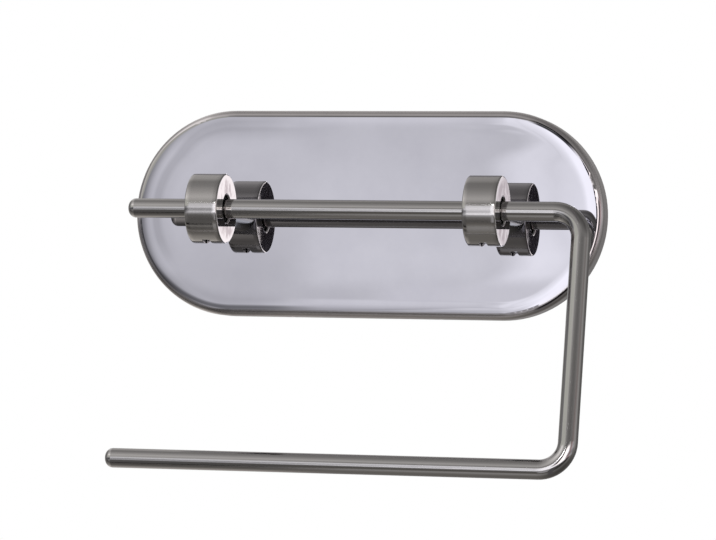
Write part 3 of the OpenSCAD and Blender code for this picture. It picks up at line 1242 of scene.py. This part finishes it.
class HOLDER_OT_bushes(bpy.types.Operator):
    """Finishes the moulded bushes"""

    bl_idname = "holder.bushes"
    bl_label = "Bushes"

    def execute(self, context):
        settings = context.scene.holder_finish
        material, tree, shader = new_finish("black_nylon")
        place = place_from(tree, ROD_AXIS)[0]
        grain = noise(tree, place, 6.0)
        set_shader(
            tree,
            shader,
            Base_Color=tones(tree, grain, settings.bush_colour, 1.0, 1.8),
            Roughness=spread(tree, grain, 0.62, 0.8),
            Specular_IOR_Level=0.15,
            Normal=bump(tree, grain, 0.00001),
        )
        paint(material, "bush_left", "bush_right")
        return {"FINISHED"}


class HOLDER_OT_set_screws(bpy.types.Operator):
    """Finishes the set screws of the collars and of the plate"""

    bl_idname = "holder.set_screws"
    bl_label = "Set Screws"

    def execute(self, context):
        settings = context.scene.holder_finish
        material, tree, shader = new_finish("screw_steel")
        place, _, _, z = place_from(tree)
        mottle = noise(tree, place, 2.5)
        thread = calc(tree, "PINGPONG", calc(tree, "DIVIDE", z, SET_SCREW_PITCH), 0.5)
        set_shader(
            tree,
            shader,
            Base_Color=tones(tree, mottle, settings.screw_colour, 0.8, 1.2),
            Metallic=1.0,
            Roughness=spread(tree, mottle, 0.28, 0.42),
            Normal=bump(tree, thread, 0.0002),
        )
        paint(
            material,
            "lock_screw_left",
            "lock_screw_right",
            "collar_screw_left",
            "collar_screw_right",
        )
        return {"FINISHED"}


class HOLDER_OT_zinc_sheet(bpy.types.Operator):
    """Finishes the folded bracket and rail"""

    bl_idname = "holder.zinc_sheet"
    bl_label = "Bracket And Rail"

    def execute(self, context):
        settings = context.scene.holder_finish
        material, tree, shader = new_finish("zinc_sheet")
        place, x, y, z = place_from(tree)
        cells = add_node(
            tree, "ShaderNodeTexVoronoi", {"Vector": place, "Scale": 0.45, "Randomness": 1.0}
        ).outputs["Color"]
        flake = add_node(tree, "ShaderNodeSeparateColor", {0: cells}).outputs[0]
        rolled = noise(tree, vector(tree, calc(tree, "MULTIPLY", x, 0.05), y, z), 4.0)
        shade = tones(tree, flake, settings.zinc_colour, 0.9, 1.12)
        cool = rgba((0.92, 0.94, 0.98))
        shade = multiply_colours(tree, shade, cool, spread(tree, rolled, 0.0, 0.5))
        set_shader(
            tree,
            shader,
            Base_Color=shade,
            Metallic=0.6,
            Roughness=calc(
                tree, "ADD", spread(tree, flake, 0.3, 0.4), spread(tree, rolled, -0.04, 0.06)
            ),
            Normal=bump(tree, rolled, 0.000006),
        )
        paint(material, "hook_rail", "wall_bracket")
        return {"FINISHED"}


class HOLDER_OT_fasteners(bpy.types.Operator):
    """Finishes the nuts and washers behind the plate"""

    bl_idname = "holder.fasteners"
    bl_label = "Nuts And Washers"

    def execute(self, context):
        settings = context.scene.holder_finish
        for side, which in ((-1, "left"), (1, "right")):
            material, tree, shader = new_finish("zinc_fastener_" + which)
            place, x, y, z = place_from(tree, (side * COLLAR_X, 0.0, 0.0))
            radius = hypotenuse(tree, x, z)
            rings = noise(tree, vector(tree, radius, y), 7.0, 2.0)
            patch = noise(tree, place, 0.8)
            set_shader(
                tree,
                shader,
                Base_Color=tones(tree, patch, settings.fastener_colour, 0.88, 1.1),
                Metallic=0.7,
                Roughness=calc(
                    tree, "ADD", spread(tree, rings, 0.22, 0.34), spread(tree, patch, -0.03, 0.05)
                ),
                Normal=bump(tree, rings, 0.000005),
            )
            paint(material, "post_nut_" + which, "post_washer_" + which)
        return {"FINISHED"}


class HOLDER_PT_panel(bpy.types.Panel):
    """Lists the steps and settings of the roll holder"""

    bl_idname = "HOLDER_PT_panel"
    bl_label = "Toilet Roll Holder"
    bl_space_type = "VIEW_3D"
    bl_region_type = "UI"
    bl_category = "Holder"

    def draw(self, context):
        layout = self.layout
        for group_name in SETTINGS:
            group = getattr(context.scene, group_name)
            box = layout.box()
            for name in group.__annotations__:
                box.prop(group, name)
        for step in STEPS:
            layout.operator(step.bl_idname)


STEPS = (
    HOLDER_OT_camera,
    HOLDER_OT_studio,
    HOLDER_OT_cover_plate,
    HOLDER_OT_collars,
    HOLDER_OT_posts,
    HOLDER_OT_rod,
    HOLDER_OT_bushes,
    HOLDER_OT_set_screws,
    HOLDER_OT_zinc_sheet,
    HOLDER_OT_fasteners,
)
SETTINGS = {
    "holder_camera": HolderCameraSettings,
    "holder_studio": HolderStudioSettings,
    "holder_finish": HolderFinishSettings,
}
CLASSES = (*SETTINGS.values(), *STEPS, HOLDER_PT_panel)


def register():
    for kind in CLASSES:
        bpy.utils.register_class(kind)
    for name, kind in SETTINGS.items():
        setattr(bpy.types.Scene, name, bpy.props.PointerProperty(type=kind))


def unregister():
    for name in SETTINGS:
        delattr(bpy.types.Scene, name)
    for kind in reversed(CLASSES):
        bpy.utils.unregister_class(kind)


def main():
    register()
    bpy.ops.holder.camera()
    bpy.ops.holder.studio()
    bpy.ops.holder.cover_plate()
    bpy.ops.holder.collars()
    bpy.ops.holder.posts()
    bpy.ops.holder.rod()
    bpy.ops.holder.bushes()
    bpy.ops.holder.set_screws()
    bpy.ops.holder.zinc_sheet()
    bpy.ops.holder.fasteners()


if __name__ == "__main__":
    main()
